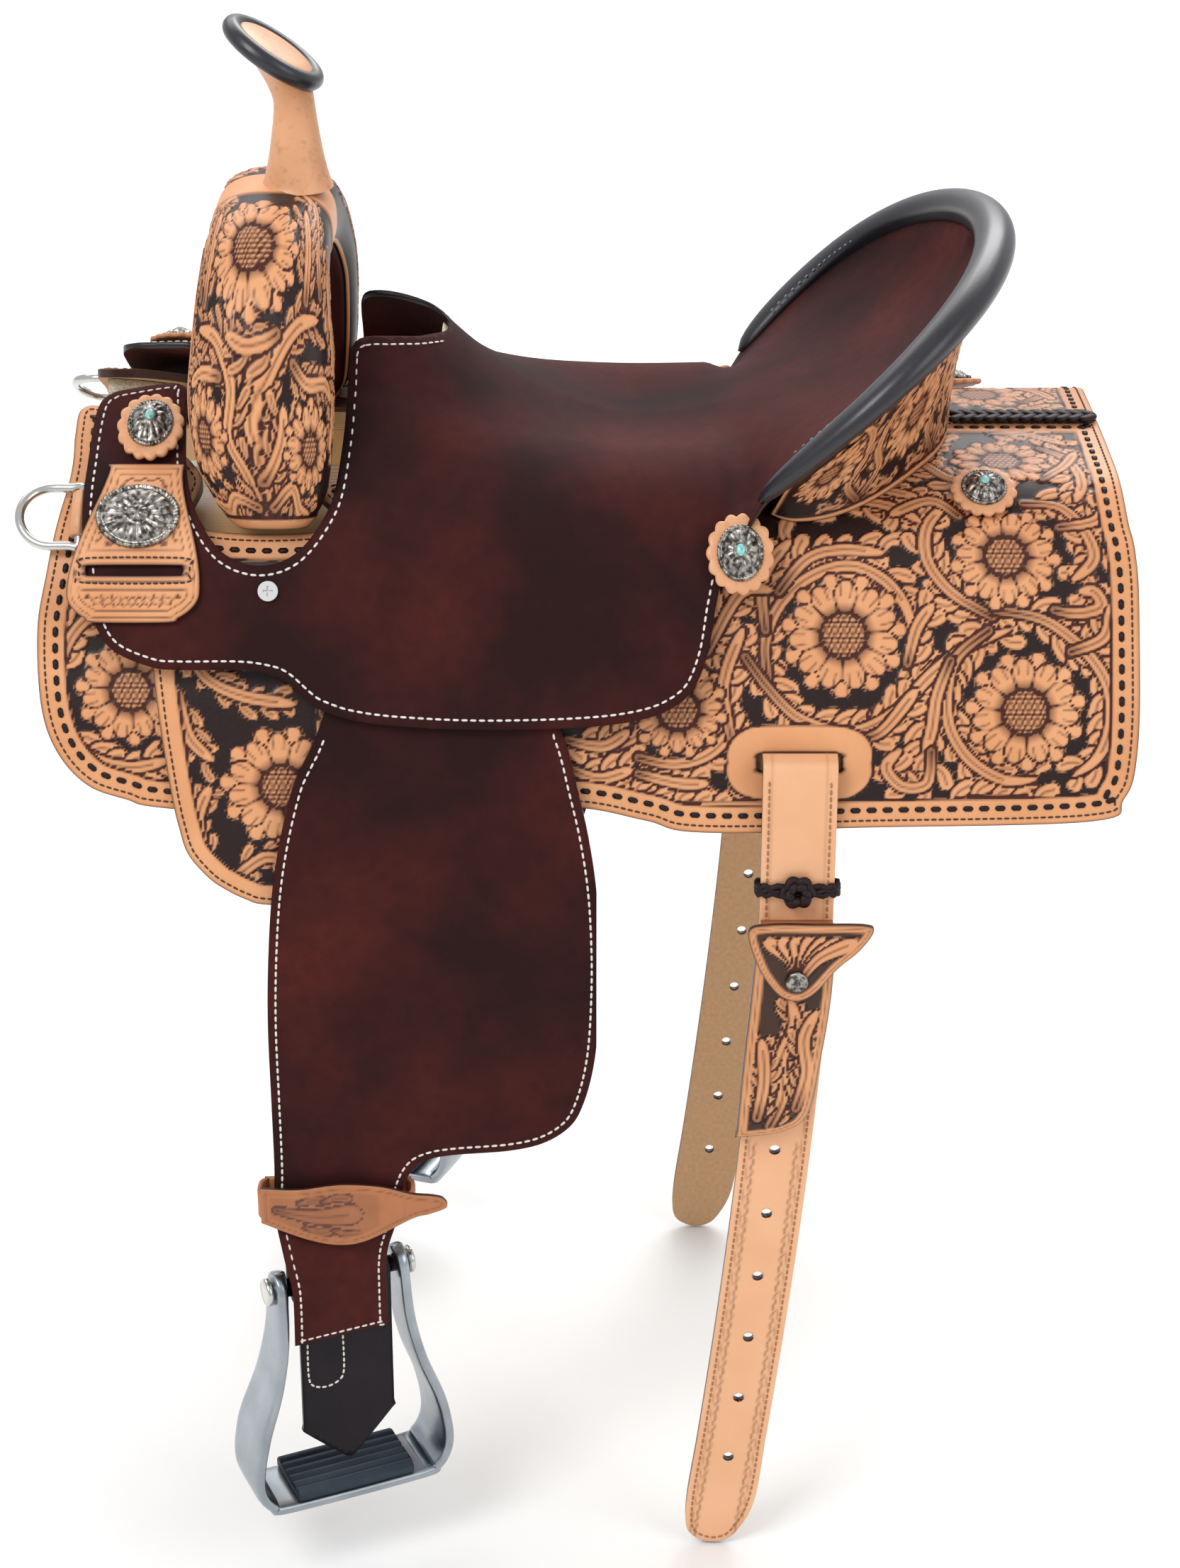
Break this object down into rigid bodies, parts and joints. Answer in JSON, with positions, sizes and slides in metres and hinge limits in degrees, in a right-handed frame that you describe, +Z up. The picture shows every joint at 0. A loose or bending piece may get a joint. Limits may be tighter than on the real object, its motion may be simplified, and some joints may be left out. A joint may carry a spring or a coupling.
{
  "type": "western saddle",
  "caption": "Western riding saddle with tooled skirts, horn, padded seat, fenders, metal stirrups and flank billets, built from separate leather and tree pieces.",
  "frame": {"origin": "on the spine line at mid length, on the underside of the joined skirts' fleece", "axes": "-X towards the horn and the horse's head, +X towards the cantle, -Y the rider's left (near) side, +Z up"},
  "size_m": [0.6738, 0.506, 0.9736],
  "materials": {
    "tree_wood": "plain sawn wood under rawhide",
    "tooled_leather": "vegetable-tanned leather, hand tooled, oiled, with a dark brown dyed background",
    "rough_out_leather": "dark oiled rough-out leather, fine nap",
    "black_leather": "black polished leather",
    "foam": "felt and foam pad",
    "sheepskin": "natural sheepskin, wool side down",
    "steel": "nickel-plated steel, worn bright",
    "antique_silver": "antiqued silver plate, dark in the recesses",
    "turquoise": "polished turquoise cabochon",
    "cast_aluminium": "cast aluminium, brushed and polished",
    "tread_rubber": "black ribbed rubber"
  },
  "bodies": {
    "root": {"tree_fork": "tree_wood", "tree_cantle": "tree_wood", "tree_bar_left": "tree_wood", "tree_bar_right": "tree_wood", "horn_core": "steel", "horn_neck_cover": "tooled_leather", "horn_cap": "tooled_leather", "horn_cap_binding": "black_leather", "fork_cover": "tooled_leather", "gullet_lining": "rough_out_leather", "ground_seat": "tree_wood", "seat_foam": "foam", "seat_leather": "rough_out_leather", "cantle_back": "tooled_leather", "cantle_binding": "black_leather", "skirt_lacing": "rough_out_leather", "rosettes": "tooled_leather", "conchos": "antique_silver", "concho_stones": "turquoise", "jockey_screws": "steel", "skirt_left": "tooled_leather", "skirt_right": "tooled_leather", "fleece_left": "sheepskin", "fleece_right": "sheepskin", "rigging_cover_left": "tooled_leather", "rigging_cover_right": "tooled_leather", "dee_keeper_left": "tooled_leather", "dee_keeper_right": "tooled_leather"},
    "leather_left": {"stirrup_leather_left": "rough_out_leather"},
    "fender_left": {"fender_left": "rough_out_leather", "leather_tail_left": "rough_out_leather", "hobble_strap_left": "tooled_leather"},
    "stirrup_left": {"stirrup_frame_left": "cast_aluminium", "stirrup_tread_left": "tread_rubber", "stirrup_bolt_left": "steel"},
    "dee_left": {"dee_ring_left": "steel"},
    "keeper_left": {"latigo_keeper_left": "tooled_leather", "keeper_badge_left": "antique_silver"},
    "billet_left": {"flank_billet_left": "tooled_leather", "billet_lace_left": "rough_out_leather", "sheath": "tooled_leather"},
    "leather_right": {"stirrup_leather_right": "rough_out_leather"},
    "fender_right": {"fender_right": "rough_out_leather", "leather_tail_right": "rough_out_leather", "hobble_strap_right": "tooled_leather"},
    "stirrup_right": {"stirrup_frame_right": "cast_aluminium", "stirrup_tread_right": "tread_rubber", "stirrup_bolt_right": "steel"},
    "dee_right": {"dee_ring_right": "steel"},
    "keeper_right": {"latigo_keeper_right": "tooled_leather", "keeper_badge_right": "antique_silver"},
    "billet_right": {"flank_billet_right": "tooled_leather", "billet_lace_right": "rough_out_leather"},
    "flap": {"sheath_flap": "tooled_leather", "sheath_snap": "steel"}
  },
  "joints": [
    {"name": "leather_swing_left", "type": "hinge", "parent": "root", "child": "leather_left", "pos_m": [-0.118, -0.11218, 0.01198], "axis": [0, -0.848, 0.5299], "range_deg": [-3, 3]},
    {"name": "fender_lift_left", "type": "hinge", "parent": "leather_left", "child": "fender_left", "pos_m": [-0.09, -0.18945, -0.11409], "axis": [-1, 0, 0], "range_deg": [0, 35]},
    {"name": "stirrup_swing_left", "type": "hinge", "parent": "fender_left", "child": "stirrup_left", "pos_m": [-0.161, -0.203, -0.486], "axis": [0.9135, 0.4067, 0], "range_deg": [-20, 20]},
    {"name": "dee_hinge_left", "type": "hinge", "parent": "root", "child": "dee_left", "pos_m": [-0.306, -0.12397, 0.00227], "axis": [0, 0.8031, 0.5958], "range_deg": [0, 75]},
    {"name": "keeper_lift_left", "type": "hinge", "parent": "root", "child": "keeper_left", "pos_m": [-0.266, -0.10541, 0.02592], "axis": [-1, 0, 0], "range_deg": [0, 20]},
    {"name": "billet_swing_left", "type": "hinge", "parent": "root", "child": "billet_left", "pos_m": [0.126, -0.19209, -0.134], "axis": [-1, 0, 0], "range_deg": [0, 70]},
    {"name": "leather_swing_right", "type": "hinge", "parent": "root", "child": "leather_right", "pos_m": [-0.118, 0.11218, 0.01198], "axis": [0, 0.848, 0.5299], "range_deg": [-3, 3]},
    {"name": "fender_lift_right", "type": "hinge", "parent": "leather_right", "child": "fender_right", "pos_m": [-0.09, 0.18945, -0.11409], "axis": [1, 0, 0], "range_deg": [0, 35]},
    {"name": "stirrup_swing_right", "type": "hinge", "parent": "fender_right", "child": "stirrup_right", "pos_m": [-0.161, 0.203, -0.486], "axis": [0.9135, -0.4067, 0], "range_deg": [-20, 20]},
    {"name": "dee_hinge_right", "type": "hinge", "parent": "root", "child": "dee_right", "pos_m": [-0.306, 0.12397, 0.00227], "axis": [0, 0.8031, -0.5958], "range_deg": [0, 75]},
    {"name": "keeper_lift_right", "type": "hinge", "parent": "root", "child": "keeper_right", "pos_m": [-0.266, 0.10541, 0.02592], "axis": [1, 0, 0], "range_deg": [0, 20]},
    {"name": "billet_swing_right", "type": "hinge", "parent": "root", "child": "billet_right", "pos_m": [0.126, 0.19209, -0.134], "axis": [1, 0, 0], "range_deg": [0, 70]},
    {"name": "flap_hinge", "type": "hinge", "parent": "billet_left", "child": "flap", "pos_m": [0.126, -0.20149, -0.234], "axis": [-1, 0, 0], "range_deg": [0, 40]}
  ]
}
